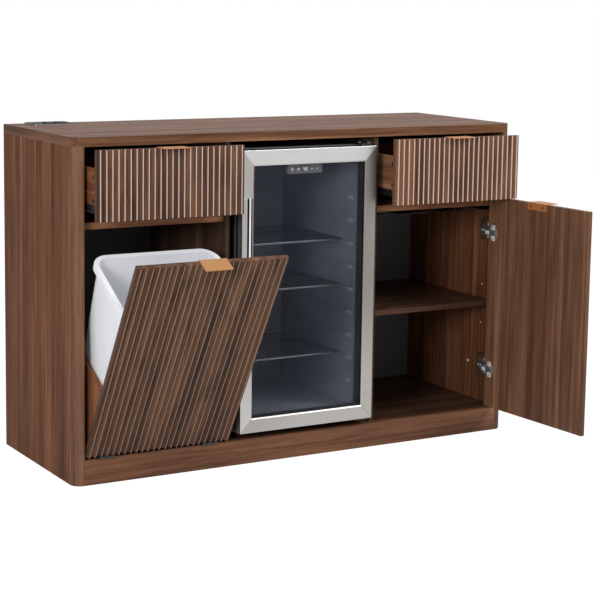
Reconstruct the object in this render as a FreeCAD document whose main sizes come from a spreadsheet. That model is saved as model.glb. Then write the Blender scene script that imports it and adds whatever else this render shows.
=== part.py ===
import FreeCAD, Part
import Sketcher
import os
import re

# Coffee bar cabinet: two reeded drawers, a tilt-out bin, a side-hung reeded door and a drink cooler.
# Millimetres. Origin on the floor at the middle of the footprint, +X to the right, +Y to the back.

os.makedirs("parts", exist_ok=True)
doc = FreeCAD.newDocument("CoffeeBarCabinet")
sheet = doc.addObject("Spreadsheet::Sheet", "Sizes")

# Driving sizes, one named value each
sizes = {
    # carcass
    "case_width": 1410, "case_depth": 500, "case_height": 930, "top_thick": 25, "side_thick": 18,
    "post_wide": 31, "post_land": 1, "plinth_height": 70, "plinth_thick": 18, "floor_thick": 18,
    "bearer_wide": 18, "divider_thick": 12, "divider_centre": 240, "divider_set": 2,
    "back_thick": 5, "rail_thick": 18, "rail_height": 80, "shelf_thick": 18, "shelf_drop": 14,
    # reeded fronts
    "front_thick": 18, "front_gap": 3, "post_gap": 4, "drawer_front_height": 186,
    "reed_count": 25, "reed_depth": 5, "root_share": 0.78, "hip_share": 0.48, "neck_share": 0.26,
    "crest_share": 0.14, "hip_rise": 0.26, "neck_rise": 0.62,
    # edge pulls
    "pull_long": 79, "pull_thick": 2, "pull_proud": 25, "pull_flange": 20,
    # drawer boxes and runners
    "left_pull": 77, "right_pull": 86, "box_deep": 400, "box_board": 12, "box_high": 95,
    "box_lift": 40, "box_bottom": 5, "box_bottom_lift": 10, "groove_deep": 5, "groove_play": 0.1,
    "runner_gap": 13, "runner_metal": 1.2, "runner_high": 20, "runner_lip": 11, "runner_play": 0.3,
    "runner_long": 400, "runner_foot": 10, "runner_top": 1, "batten_high": 40,
    # tilt-out bin
    "tilt_open": 30, "pivot_proud": 3, "pivot_rise": 1.5, "cheek_set": 10, "cheek_thick": 12,
    "cheek_reach": 240, "cheek_lift": 5, "cheek_high": 200, "cheek_corner": 12,
    "tilt_base_lift": 15, "tilt_base_thick": 12, "tilt_rail_high": 63,
    "bin_rim_play": 19.7, "bin_taper": 15.3, "bin_shift": 26, "bin_base_deep": 188, "bin_rim_deep": 234,
    "bin_drop": 191.5, "bin_wall": 2.5, "bin_base_set": 6, "bin_rim_set": 4, "bin_base_corner": 32,
    "bin_rim_corner": 38, "bin_lip": 11, "bin_lip_high": 14,
    "butt_long": 50, "butt_inset": 35, "butt_leaf": 1.2, "butt_deep": 15, "butt_barrel": 2.5,
    "butt_pin": 1.2, "butt_play": 0.05, "butt_knuckle": 20, "butt_gap": 0.3,
    # side-hung door
    "door_open": 93, "axis_inset": 13, "axis_set": 8, "hinge_low": 115, "hinge_high": 109,
    "cup_radius": 17.5, "cup_inset": 22.5, "cup_deep": 11.5, "cup_wall": 1.2, "cup_floor": 0.5,
    "cup_play": 0.1, "cup_flange": 1.2, "cup_flange_wide": 1.5, "ear_reach": 24, "ear_radius": 8.5,
    "hinge_pin": 1.2, "hinge_play": 0.05, "hinge_knuckle": 2.5, "hinge_half": 6, "arm_thick": 2,
    "arm_back": 14, "arm_clear": 8, "arm_plate_long": 60, "arm_plate_half": 16,
    "block_long": 64, "block_half": 32,
    # loose shelf and its pins
    "loose_low": 375, "loose_thick": 15, "loose_set": 50, "loose_play": 1, "pin_radius": 2.5,
    "pin_play": 0.05, "pin_deep": 8, "pin_reach": 10, "pin_front": 100, "pin_back": 75,
    "pin_pitch": 60, "pin_rows": 3,
    # stemware rack
    "rack_slots": 3, "rack_open": 44, "rack_high": 14, "rack_metal": 1.5, "rack_top": 15,
    "rack_front": 45, "rack_long": 300,
    # power outlet in the top
    "outlet_x": 57, "outlet_wide": 123, "outlet_deep": 88, "outlet_back": 10, "outlet_rim": 6,
    "outlet_high": 4, "outlet_corner": 6, "outlet_sunk": 40, "outlet_play": 0.5,
    "block_wide": 27, "block_gap": 6, "block_deep": 62, "block_tall": 12,
    # drink cooler
    "cooler_gap": 20, "cooler_head": 21, "cooler_front": 30, "cooler_back": 20, "foot_high": 18,
    "foot_radius": 15, "foot_inset": 34, "shell": 1.5, "liner": 2.5, "cavity_side": 38,
    "cavity_low": 37, "cavity_high": 34, "cavity_back": 40, "ledge_first": 76.4,
    "ledge_pitch": 66.6, "ledge_count": 7, "ledge_reach": 6, "ledge_high": 4, "ledge_front": 60,
    "ledge_back": 20, "rack_play": 1.5, "wire": 4, "wire_thin": 3, "wire_count": 11,
    "wire_front": 58, "wire_back": 24, "panel_left": 41, "panel_right": 70, "panel_high": 44,
    "panel_deep": 16, "panel_set": 4, "panel_slope": 10,
    # cooler door
    "glaze_over": 2, "glaze_low": 4, "glaze_head": 3, "glaze_proud": 19, "trim_thick": 6,
    "stile_wide": 37, "rail_low": 41, "rail_top": 43, "core_back": 24, "pane": 5, "pane_seat": 8,
    "seal_gap": 0.3, "seal_inset": 14, "seal_wide": 17, "swing_inset": 12, "swing_set": 6,
    "swing_pin": 3, "swing_play": 0.05, "swing_reach": 12, "swing_plate": 3, "swing_wide": 40,
    "swing_long": 48, "grip_front": 4, "grip_wide": 12, "grip_deep": 8,
}
for row, (alias, value) in enumerate(sizes.items(), 1):
    sheet.set("A%d" % row, alias.replace("_", " "))
    sheet.set("B%d" % row, str(value))
    sheet.setAlias("B%d" % row, alias)

# Shared places, each written once from the sizes
places = {
    "half": "case_width / 2",
    "front": "-case_depth / 2",
    "back": "case_depth / 2",
    "under_top": "case_height - top_thick",
    "side_in": "half - side_thick",
    "post_in": "half - post_wide",
    "post_round": "post_wide - post_land",
    "post_back": "front + post_wide",
    "floor_under": "plinth_height - floor_thick",
    "back_in": "back - back_thick",
    "div_in": "divider_centre - divider_thick / 2",
    "div_out": "divider_centre + divider_thick / 2",
    "div_front": "front + front_thick + divider_set",
    "front_in": "divider_centre",
    "front_out": "post_in - post_gap",
    "front_wide": "front_out - front_in",
    "front_low": "plinth_height + front_gap",
    "drawer_top": "under_top - front_gap",
    "drawer_low": "drawer_top - drawer_front_height",
    "door_top": "drawer_low - front_gap",
    "door_high": "door_top - front_low",
    "shelf_top": "drawer_low - shelf_drop",
    "shelf_low": "shelf_top - shelf_thick",
    "pitch": "front_wide / reed_count",
    # drawer bay, measured either side of its middle
    "bay_mid": "(post_in + div_out) / 2",
    "bay_half": "(post_in - div_out) / 2",
    "box_half": "bay_half - runner_gap",
    "box_low": "drawer_low + box_lift",
    "run_top": "box_low + runner_top",
    "run_low": "run_top - runner_high",
    # tilt-out frame, with its origin on the hinge line
    "tilt_mid": "(front_in + front_out) / 2",
    "tilt_y": "front - pivot_proud",
    "tilt_z": "plinth_height + pivot_rise",
    "t_back": "pivot_proud + front_thick",
    "t_low": "front_gap - pivot_rise",
    "t_end": "pivot_proud + cheek_reach",
    "t_seat": "t_low + tilt_base_lift + tilt_base_thick",
    "cheek_half": "front_wide / 2 - cheek_set",
    "tray_half": "cheek_half - cheek_thick",
    "bin_rim_wide": "2 * (tray_half - bin_rim_play)",
    "bin_base_wide": "bin_rim_wide - 2 * bin_taper",
    "bin_mid": "-tilt_mid - bin_shift",
    "bin_high": "door_high - bin_drop",
    # door frame, with its origin on the hinge line
    "axis_x": "front_out - axis_inset",
    "axis_y": "front + front_thick - axis_set",
    "d_face": "axis_set - front_thick",
    "hinge_z1": "front_low + hinge_low",
    "hinge_z2": "door_top - hinge_high",
    "d_cup": "axis_inset - cup_inset",
    # cooler
    "cool_half": "div_in - cooler_gap",
    "cool_low": "plinth_height + foot_high",
    "cool_top": "under_top - cooler_head",
    "cool_front": "front + cooler_front",
    "cool_back": "back - cooler_back",
    "cav_half": "cool_half - cavity_side",
    "cav_low": "cool_low + cavity_low",
    "cav_top": "cool_top - cavity_high",
    "cav_back": "cool_back - cavity_back",
    "glaze_half": "cool_half + glaze_over",
    "glaze_bottom": "cool_low + glaze_low",
    "glaze_top": "cool_top - glaze_head",
    "glaze_face": "front - glaze_proud",
    "core_front": "glaze_face + trim_thick",
    "core_rear": "front + core_back",
    "see_half": "glaze_half - stile_wide",
    "see_low": "glaze_bottom + rail_low",
    "see_top": "glaze_top - rail_top",
    "swing_x": "glaze_half - swing_inset",
    "swing_y": "front + swing_set",
    # outlet
    "out_x0": "outlet_x - half",
    "out_x1": "outlet_x - half + outlet_wide",
    "out_y0": "back - outlet_back - outlet_deep",
    "out_y1": "back - outlet_back",
}


def bind(text):
    def swap(found):
        word = found.group(0)
        if word in places:
            return "(" + bind(places[word]) + ")"
        if word in sizes:
            return "Sizes." + word
        if word == "sqrt":
            return word
        raise NameError(word)
    return re.sub(r"[A-Za-z_][A-Za-z_0-9]*", swap, str(text))


# A gauge point reads the value of any expression on the sheet
gauge = doc.addObject("Part::Vertex", "Gauge")
doc.recompute()


def number(text):
    gauge.setExpression("X", bind(text))
    gauge.recompute()
    return float(gauge.X.Value)


nodes = {}


def keep(name, item):
    item.Label = name
    nodes[name] = item
    return item


def board(name, xs, ys, zs):
    box = doc.addObject("Part::Box", name)
    sides = zip(("Length", "Width", "Height"), "xyz", (xs, ys, zs))
    for side, letter, (low, high) in sides:
        box.setExpression(side, bind("(%s) - (%s)" % (high, low)))
        box.setExpression("Placement.Base." + letter, bind(low))
    return box


def rod(name, centre, radius, length, along="z"):
    bar = doc.addObject("Part::Cylinder", name)
    turn = {"x": (0, 1, 0, 90), "y": (1, 0, 0, -90), "z": (0, 0, 1, 0)}[along]
    bar.Placement.Rotation = FreeCAD.Rotation(FreeCAD.Vector(*turn[:3]), turn[3])
    bar.setExpression("Radius", bind(radius))
    bar.setExpression("Height", bind(length))
    for letter, text in zip("xyz", centre):
        bar.setExpression("Placement.Base." + letter, bind(text))
    return bar


def group(name, items):
    whole = doc.addObject("Part::Compound", name)
    whole.Links = items
    return whole


def fuse(name, items):
    whole = doc.addObject("Part::MultiFuse", name)
    whole.Shapes = items
    return whole


def cut(name, base, tools):
    whole = doc.addObject("Part::Cut", name)
    whole.Base = base
    whole.Tool = tools[0] if len(tools) == 1 else group(name + "_tools", tools)
    return whole


def pose(item, base, axis=None, angle=None):
    for letter, text in zip("xyz", base):
        item.setExpression("Placement.Base." + letter, bind(text))
    if axis:
        for letter in "xyz":
            item.setExpression("Placement.Rotation.Axis." + letter, "1" if letter == axis else "0")
        item.setExpression("Placement.Rotation.Angle", bind(angle))
    return item


def pin_point(sketch, geo, pos, x, y=None):
    for kind, text in (("DistanceX", x), ("DistanceY", y)):
        if text is not None:
            rule = sketch.addConstraint(Sketcher.Constraint(kind, -1, 1, geo, pos, number(text)))
            sketch.setExpression("Constraints[%d]" % rule, bind(text))


# A closed loop of straight runs; a point with a third value is a square corner rounded to that radius
def loop(sketch, points):
    corners = []
    count = len(points)
    flat = [(number(p[0]), number(p[1])) for p in points]
    for i, p in enumerate(points):
        if len(p) == 2:
            corners.append((p, p, None))
            continue
        ends = []
        for other in (flat[i - 1], flat[(i + 1) % count]):
            dx, dy = other[0] - flat[i][0], other[1] - flat[i][1]
            if abs(dx) > abs(dy):
                ends.append(("(%s) %s (%s)" % (p[0], "+" if dx > 0 else "-", p[2]), p[1]))
            else:
                ends.append((p[0], "(%s) %s (%s)" % (p[1], "+" if dy > 0 else "-", p[2])))
        mid = [ends[0][k] if ends[0][k] != p[k] else ends[1][k] for k in (0, 1)]
        corners.append((ends[0], ends[1], mid))
    vec = FreeCAD.Vector
    spots = [[vec(number(e[0]), number(e[1]), 0) for e in (c[0], c[1])] for c in corners]
    first = sketch.GeometryCount
    for i in range(count):
        sketch.addGeometry(Part.LineSegment(spots[i][1], spots[(i + 1) % count][0]), False)
    for i, (enter, leave, mid) in enumerate(corners):
        before, after = first + (i - 1) % count, first + i
        pin_point(sketch, after, 1, *leave)
        if mid is None:
            sketch.addConstraint(Sketcher.Constraint("Coincident", before, 2, after, 1))
            continue
        centre = vec(number(mid[0]), number(mid[1]), 0)
        arm_in, arm_out = spots[i][0] - centre, spots[i][1] - centre
        turns_left = arm_in.cross(arm_out).z > 0
        start = arm_in if turns_left else arm_out
        angle = vec(1, 0, 0).getAngle(start) * (1 if start.y >= 0 else -1)
        circle = Part.Circle(centre, vec(0, 0, 1), arm_in.Length)
        geo = sketch.addGeometry(Part.ArcOfCircle(circle, angle, angle + 1.5707963267948966), False)
        sketch.addConstraint(Sketcher.Constraint("Coincident", before, 2, geo, 1 if turns_left else 2))
        sketch.addConstraint(Sketcher.Constraint("Coincident", after, 1, geo, 2 if turns_left else 1))
        pin_point(sketch, before, 2, *enter)
        pin_point(sketch, geo, 3, mid[0])


def outline(body, name, plane, offset, *loops):
    sketch = body.newObject("Sketcher::SketchObject", name)
    support = [f for f in body.Origin.OriginFeatures if f.Role == plane][0]
    sketch.AttachmentSupport = [(support, "")]
    sketch.MapMode = "FlatFace"
    sketch.setExpression("AttachmentOffset.Base.z", bind(offset))
    for points in loops:
        loop(sketch, points)
    return sketch


def feature(body, kind, name, sketch, length=None):
    step = body.newObject("PartDesign::" + kind, name)
    step.Profile = sketch
    if length is not None:
        step.setExpression("Length", bind(length))
    return step


# A body padded between two levels along the axis that its profile faces
def prism(name, plane, low, high, *loops):
    body = doc.addObject("PartDesign::Body", name)
    offset = "-(%s)" % high if plane == "XZ_Plane" else low
    sketch = outline(body, name + "_profile", plane, offset, *loops)
    feature(body, "Pad", name + "_pad", sketch, "(%s) - (%s)" % (high, low))
    return body


def rect(x0, x1, y0, y1, *radius):
    return [(x0, y0) + radius, (x1, y0) + radius, (x1, y1) + radius, (x0, y1) + radius]


# One hollow-sided ridge padded on a slab, then repeated across the width; the face looks to -Y
def reeded(name, x0, x1, face, z0, z1):
    slab = rect(x0, x1, "(%s) + reed_depth" % face, "(%s) + front_thick" % face)
    body = prism(name, "XY_Plane", z0, z1, slab)
    middle = "(%s) + pitch / 2" % x0
    steps = [("root_share", "0"), ("hip_share", "hip_rise"), ("neck_share", "neck_rise"), ("crest_share", "1")]
    flanks = []
    for hand in ("-", "+"):
        flanks.append([("%s %s pitch * %s / 2" % (middle, hand, share),
                        "(%s) + reed_depth * (1 - %s)" % (face, rise)) for share, rise in steps])
    sketch = outline(body, name + "_reed", "XY_Plane", z0, flanks[0] + flanks[1][::-1])
    pad = feature(body, "Pad", name + "_reed_pad", sketch, "(%s) - (%s)" % (z1, z0))
    doc.recompute()
    row = body.newObject("PartDesign::LinearPattern", name + "_reeds")
    row.Originals = [pad]
    axis = [f for f in body.Origin.OriginFeatures if f.Role == "X_Axis"][0]
    row.Direction = (axis, [""])
    row.setExpression("Length", bind("pitch * (reed_count - 1)"))
    row.setExpression("Occurrences", bind("reed_count"))
    body.Tip = row
    return body


# Folded brass tab over a front's top edge, with its screw flange behind
def pull(name, mid, face, top):
    behind = "(%s) + front_thick" % face
    nose = "(%s) - pull_proud" % face
    tip = "(%s) + pull_thick" % top
    shape = [(nose, top), (behind, top), (behind, "(%s) - pull_flange" % top),
             ("(%s) + pull_thick" % behind, "(%s) - pull_flange" % top),
             ("(%s) + pull_thick" % behind, tip), (nose, tip)]
    return prism(name, "YZ_Plane", "(%s) - pull_long / 2" % mid, "(%s) + pull_long / 2" % mid, shape)


# Carcass
top = prism("top_board", "XY_Plane", "under_top", "case_height",
            [("-half", "front", "post_round"), ("half", "front", "post_round"),
             ("half", "back"), ("-half", "back")],
            rect("out_x0 + outlet_rim", "out_x1 - outlet_rim", "out_y0 + outlet_rim", "out_y1 - outlet_rim"))
keep("top_panel", top)

for word, sign in (("left", "-"), ("right", "")):
    outer, inner = (sign + "half", sign + "post_in")
    post = prism(word + "_post", "XY_Plane", "0", "under_top",
                 [(outer, "front", "post_round"), (inner, "front"), (inner, "post_back"),
                  (outer, "post_back")])
    keep(word + "_corner_post", post)

keep("left_side_panel", board("left_side", ("-half", "-side_in"), ("post_back", "back"), ("0", "under_top")))
right_side = board("right_side", ("side_in", "half"), ("post_back", "back"), ("0", "under_top"))
keep("left_divider", board("left_wall", ("-div_out", "-div_in"), ("div_front", "back_in"),
                           ("plinth_height", "under_top")))
right_wall = board("right_wall", ("div_in", "div_out"), ("div_front", "back_in"),
                   ("plinth_height", "under_top"))

# Shelf-pin holes in facing rows, and the pins of the loose shelf in their middle row
rows = ("front + pin_front", "back_in - pin_back")
pin_z = "loose_low - pin_radius"
side_holes, wall_holes, pins = [], [], []
for i, y in enumerate(rows):
    for k in range(int(number("pin_rows"))):
        z = "%s + (%d - (pin_rows - 1) / 2) * pin_pitch" % (pin_z, k)
        tag = "%d%d" % (i, k)
        side_holes.append(rod("side_hole" + tag, ("side_in", y, z), "pin_radius + pin_play", "pin_deep", "x"))
        wall_holes.append(rod("wall_hole" + tag, ("div_out - pin_deep", y, z), "pin_radius + pin_play",
                              "pin_deep", "x"))
    pins.append(rod("side_pin%d" % i, ("side_in - pin_reach", y, pin_z), "pin_radius",
                    "pin_reach + pin_deep", "x"))
    pins.append(rod("wall_pin%d" % i, ("div_out - pin_deep", y, pin_z), "pin_radius",
                    "pin_reach + pin_deep", "x"))
keep("right_side_panel", cut("right_side_drilled", right_side, side_holes))
keep("right_divider", cut("right_wall_drilled", right_wall, wall_holes))
keep("shelf_pins", group("pins", pins))
keep("adjustable_shelf", board("loose_board", ("div_out + loose_play", "side_in - loose_play"),
                               ("front + loose_set", "back_in - loose_play"),
                               ("loose_low", "loose_low + loose_thick")))

keep("front_plinth", board("plinth", ("-post_in", "post_in"), ("front", "front + plinth_thick"),
                           ("0", "plinth_height")))
floor = prism("floor", "XY_Plane", "floor_under", "plinth_height",
              [("-post_in", "front + plinth_thick"), ("post_in", "front + plinth_thick"),
               ("post_in", "post_back"), ("side_in", "post_back"), ("side_in", "back_in"),
               ("-side_in", "back_in"), ("-side_in", "post_back"), ("-post_in", "post_back")])
keep("bottom_panel", floor)
bearers = [board("rear_rail", ("-side_in", "side_in"), ("back_in - bearer_wide", "back_in"),
                 ("0", "floor_under"))]
for i, x in enumerate(("-divider_centre", "0", "divider_centre")):
    bearers.append(board("bearer%d" % i, (x + " - bearer_wide / 2", x + " + bearer_wide / 2"),
                         ("front + plinth_thick", "back_in - bearer_wide"), ("0", "floor_under")))
keep("base_bearers", group("bearers", bearers))
keep("left_back_panel", board("left_back", ("-side_in", "-div_in"), ("back_in", "back"),
                              ("floor_under", "under_top")))
keep("right_back_panel", board("right_back", ("div_in", "side_in"), ("back_in", "back"),
                               ("floor_under", "under_top")))
keep("back_rail", board("top_rail", ("-div_in", "div_in"), ("back - rail_thick", "back_in"),
                        ("under_top - rail_height", "under_top")))
keep("left_drawer_shelf", board("left_shelf", ("-side_in", "-div_out"), ("post_back", "back_in"),
                                ("shelf_low", "shelf_top")))
keep("right_drawer_shelf", board("right_shelf", ("div_out", "side_in"), ("post_back", "back_in"),
                                 ("shelf_low", "shelf_top")))

# Stemware rack: flanged rails under the right drawer shelf, half ones against the walls
step = "(side_in - div_out) / rack_slots"
flange = "(%s - rack_open) / 2" % step
rack_low = "shelf_low - rack_high"
rails = []
for k in range(int(number("rack_slots")) + 1):
    x = "div_out + %d * %s" % (k, step)
    left = "0" if k == 0 else flange
    right = "0" if k == int(number("rack_slots")) else flange
    cap_l = "0" if k == 0 else "rack_top"
    cap_r = "0" if k == int(number("rack_slots")) else "rack_top"
    web_l = "0" if k == 0 else ("rack_metal" if right == "0" else "rack_metal / 2")
    web_r = "0" if right == "0" else ("rack_metal" if k == 0 else "rack_metal / 2")
    z0, z1 = rack_low, "%s + rack_metal" % rack_low
    z2, z3 = "shelf_low - rack_metal", "shelf_low"
    shape = [("%s - %s" % (x, left), z0), ("%s + %s" % (x, right), z0)]
    if right != "0":
        shape += [("%s + %s" % (x, right), z1), ("%s + %s" % (x, web_r), z1),
                  ("%s + %s" % (x, web_r), z2), ("%s + %s" % (x, cap_r), z2)]
    shape += [("%s + %s" % (x, cap_r), z3), ("%s - %s" % (x, cap_l), z3)]
    if left != "0":
        shape += [("%s - %s" % (x, cap_l), z2), ("%s - %s" % (x, web_l), z2),
                  ("%s - %s" % (x, web_l), z1), ("%s - %s" % (x, left), z1)]
    rails.append(prism("rack_rail%d" % k, "XZ_Plane", "front + rack_front",
                       "front + rack_front + rack_long", shape))
keep("stemware_rack", group("rack", rails))

# Power outlet let into the top
rim = prism("outlet_frame", "XY_Plane", "case_height", "case_height + outlet_high",
            rect("out_x0", "out_x1", "out_y0", "out_y1", "outlet_corner"),
            rect("out_x0 + outlet_rim", "out_x1 - outlet_rim", "out_y0 + outlet_rim", "out_y1 - outlet_rim"))
keep("power_socket_bezel", rim)
inset = "(outlet_rim + outlet_play)"
insert = board("outlet_insert", ("out_x0 + " + inset, "out_x1 - " + inset),
               ("out_y0 + " + inset, "out_y1 - " + inset),
               ("case_height - outlet_sunk", "case_height + outlet_high / 2"))
out_mid = "(out_x0 + out_x1) / 2"
out_deep = "(out_y0 + out_y1) / 2"
blocks = [insert]
for i, x in enumerate((out_mid + " - block_gap / 2 - block_wide", out_mid + " + block_gap / 2")):
    blocks.append(board("outlet_block%d" % i, (x, x + " + block_wide"),
                        (out_deep + " - block_deep / 2", out_deep + " + block_deep / 2"),
                        ("case_height", "case_height + block_tall")))
keep("power_socket_body", fuse("outlet_body", blocks))

# Drawers with grooved sides on folded metal runners
battens, channels = [], []
for word, sign, slide in (("left", "-", "left_pull"), ("right", "", "right_pull")):
    mid = sign + "bay_mid"
    face = "front - " + slide
    start = "front + front_thick - " + slide
    end = start + " + box_deep"
    if sign:
        span = ("-front_out", "-front_in")
    else:
        span = ("front_in", "front_out")
    keep(word + "_drawer_front", reeded(word + "_drawer_face", span[0], span[1], face,
                                        "drawer_low", "drawer_top"))
    keep(word + "_drawer_pull", pull(word + "_drawer_tab", sign + "tilt_mid", face, "drawer_top"))
    sides, members = [], []
    slot_low = "box_low + box_bottom_lift - groove_play"
    slot_top = "box_low + box_bottom_lift + box_bottom + groove_play"
    for hand in ("-", "+"):
        turn = "+" if hand == "-" else "-"
        out_x = "%s %s box_half" % (mid, hand)
        in_x = "%s %s box_board" % (out_x, turn)
        deep_x = "%s %s groove_deep" % (in_x, hand)
        shape = [(out_x, "box_low"), (in_x, "box_low"), (in_x, slot_low), (deep_x, slot_low),
                 (deep_x, slot_top), (in_x, slot_top), (in_x, "box_low + box_high"),
                 (out_x, "box_low + box_high")]
        tag = word + ("_a" if hand == "-" else "_b")
        sides.append(prism("drawer_side_" + tag, "XZ_Plane", start, end, shape))
        wall = "%s %s bay_half" % (mid, hand)
        lip = "%s %s runner_lip" % (wall, turn)
        web = "%s %s runner_metal" % (wall, turn)
        low_in, top_in = "run_low + runner_metal", "run_top - runner_metal"
        channel = [(wall, "run_low"), (lip, "run_low"), (lip, low_in), (web, low_in), (web, top_in),
                   (lip, top_in), (lip, "run_top"), (wall, "run_top")]
        channels.append(prism("channel_" + tag, "XZ_Plane", "post_back", "post_back + runner_long", channel))
        foot_x = "%s %s runner_foot" % (out_x, turn)
        skin_x = "%s %s runner_metal" % (out_x, hand)
        toe_x = "%s %s runner_play" % (web, turn)
        toe_low = low_in + " + runner_play"
        member = [(toe_x, toe_low), (out_x, toe_low), (out_x, "box_low - runner_metal"),
                  (foot_x, "box_low - runner_metal"), (foot_x, "box_low"), (skin_x, "box_low"),
                  (skin_x, toe_low + " + runner_metal"), (toe_x, toe_low + " + runner_metal")]
        members.append(prism("member_" + tag, "XZ_Plane", start, end, member))
    keep(word + "_drawer_sides", group(word + "_drawer_walls", sides))
    keep(word + "_drawer_runners", group(word + "_drawer_members", members))
    inner = ("%s - box_half + box_board" % mid, "%s + box_half - box_board" % mid)
    keep(word + "_drawer_back", board(word + "_drawer_rear", inner, (end + " - box_board", end),
                                      ("box_low", "box_low + box_high")))
    keep(word + "_drawer_bottom", board(
        word + "_drawer_floor",
        (inner[0] + " - groove_deep + groove_play", inner[1] + " + groove_deep - groove_play"),
        (start, end + " - box_board"),
        ("box_low + box_bottom_lift", "box_low + box_bottom_lift + box_bottom")))
    strip = ("-side_in", "-post_in") if sign else ("post_in", "side_in")
    run_mid = "(run_low + run_top) / 2"
    battens.append(board(word + "_batten", strip, ("post_back", "post_back + runner_long"),
                         (run_mid + " - batten_high / 2", run_mid + " + batten_high / 2")))
keep("runner_battens", group("battens", battens))
keep("cabinet_runners", group("channels", channels))


# Tilt-out front: everything is drawn closed round its hinge line, then leaned out
def lean(name, item):
    pose(item, ("0", "tilt_y", "tilt_z"), "x", "tilt_open")
    return keep(name, item)


lean("tilt_door", reeded("tilt_face", "-front_out", "-front_in", "pivot_proud", "t_low", "t_low + door_high"))
lean("tilt_pull", pull("tilt_tab", "-tilt_mid", "pivot_proud", "t_low + door_high"))
cheeks = []
for i, (x0, x1) in enumerate((("-tilt_mid - cheek_half", "-tilt_mid - cheek_half + cheek_thick"),
                              ("-tilt_mid + cheek_half - cheek_thick", "-tilt_mid + cheek_half"))):
    shape = [("t_back", "t_low + cheek_lift"), ("t_end", "t_low + cheek_lift", "cheek_corner"),
             ("t_end", "t_low + cheek_lift + cheek_high", "cheek_corner"),
             ("t_back", "t_low + cheek_lift + cheek_high")]
    cheeks.append(prism("cheek%d" % i, "YZ_Plane", x0, x1, shape))
lean("tilt_cheeks", group("cheeks", cheeks))
tray = ("-tilt_mid - cheek_half + cheek_thick", "-tilt_mid + cheek_half - cheek_thick")
lean("tilt_base", group("tilt_floor", [board("tilt_floor_board", tray, ("t_back", "t_end"),
                                             ("t_low + tilt_base_lift", "t_seat"))]))
lean("tilt_rail", group("tilt_rear", [board("tilt_rear_board", tray, ("t_end - cheek_thick", "t_end"),
                                            ("t_seat", "t_seat + tilt_rail_high"))]))

# Bin: lofted from its base to its rim, lipped, then hollowed by a second loft
bin_body = doc.addObject("PartDesign::Body", "bin_shell")


def bin_loop(wide, deep, set_back, inside, corner):
    return rect("bin_mid - %s / 2 + %s" % (wide, inside), "bin_mid + %s / 2 - %s" % (wide, inside),
                "t_back + %s + %s" % (set_back, inside), "t_back + %s + %s - %s" % (set_back, deep, inside),
                "%s - %s" % (corner, inside))


bin_low = bin_loop("bin_base_wide", "bin_base_deep", "bin_base_set", "0", "bin_base_corner")
bin_top = bin_loop("bin_rim_wide", "bin_rim_deep", "bin_rim_set", "0", "bin_rim_corner")
bin_in_low = bin_loop("bin_base_wide", "bin_base_deep", "bin_base_set", "bin_wall", "bin_base_corner")
bin_in_top = bin_loop("bin_rim_wide", "bin_rim_deep", "bin_rim_set", "bin_wall", "bin_rim_corner")
bin_lip = [(p[0], p[1], "bin_rim_corner + bin_lip") for p in rect(
    "bin_mid - bin_rim_wide / 2 - bin_lip", "bin_mid + bin_rim_wide / 2 + bin_lip",
    "t_back + bin_rim_set - bin_rim_set / 2", "t_back + bin_rim_set + bin_rim_deep + bin_lip")]
low_sketch = outline(bin_body, "bin_low", "XY_Plane", "t_seat", bin_low)
top_sketch = outline(bin_body, "bin_top", "XY_Plane", "t_seat + bin_high", bin_top)
hull = feature(bin_body, "AdditiveLoft", "bin_hull", low_sketch)
hull.Sections = [top_sketch]
hull.Ruled = True
lip_sketch = outline(bin_body, "bin_lip_edge", "XY_Plane", "t_seat + bin_high - bin_lip_high", bin_lip)
feature(bin_body, "Pad", "bin_lip_pad", lip_sketch, "bin_lip_high")
in_low = outline(bin_body, "bin_in_low", "XY_Plane", "t_seat + bin_wall", bin_in_low)
in_top = outline(bin_body, "bin_in_top", "XY_Plane", "t_seat + bin_high", bin_in_top)
doc.recompute()
hollow = feature(bin_body, "SubtractiveLoft", "bin_hollow", in_low)
hollow.Sections = [in_top]
hollow.Ruled = True
lean("waste_bin", bin_body)

# Butt hinges: a leaf on the plinth with the middle knuckle, a leaf under the front with two and the pin
base_leaves, door_leaves = [], []
for i, x in enumerate(("-front_out + butt_inset", "-front_in - butt_inset - butt_long")):
    k0 = x + " + (butt_long - butt_knuckle) / 2"
    k1 = k0 + " + butt_knuckle"
    x1 = x + " + butt_long"
    leaf_low = ("-pivot_rise", "butt_leaf - pivot_rise")
    leaf_high = ("t_low - butt_leaf", "t_low")
    plate = board("leaf_base%d" % i, (x, x1), ("pivot_proud", "pivot_proud + butt_deep"), leaf_low)
    tab = board("tab_base%d" % i, (k0, k1), ("0", "pivot_proud"), leaf_low)
    knuckle = rod("knuckle_base%d" % i, (k0, "0", "0"), "butt_barrel", "butt_knuckle", "x")
    bore = rod("bore_base%d" % i, (k0, "0", "0"), "butt_pin + butt_play", "butt_knuckle", "x")
    base_leaves.append(cut("base_leaf%d" % i, fuse("base_whole%d" % i, [plate, tab, knuckle]), [bore]))
    parts = [board("leaf_door%d" % i, (x, x1), ("pivot_proud", "pivot_proud + butt_deep"), leaf_high)]
    for j, (a, b) in enumerate(((x, k0 + " - butt_gap"), (k1 + " + butt_gap", x1))):
        parts.append(board("tab_door%d%d" % (i, j), (a, b), ("0", "pivot_proud"), leaf_high))
        parts.append(rod("knuckle_door%d%d" % (i, j), (a, "0", "0"), "butt_barrel",
                         "(%s) - (%s)" % (b, a), "x"))
    parts.append(rod("butt_pin%d" % i, (x, "0", "0"), "butt_pin", "butt_long", "x"))
    door_leaves.append(fuse("door_leaf%d" % i, parts))
keep("tilt_hinge_base_leaves", pose(group("base_leaves", base_leaves), ("0", "tilt_y", "tilt_z")))
lean("tilt_door_hinge_leaves", group("door_leaves", door_leaves))


# Side-hung door: drawn closed round its hinge line, then swung open
def swing(name, item):
    pose(item, ("axis_x", "axis_y", "0"), "z", "door_open")
    return keep(name, item)


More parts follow.
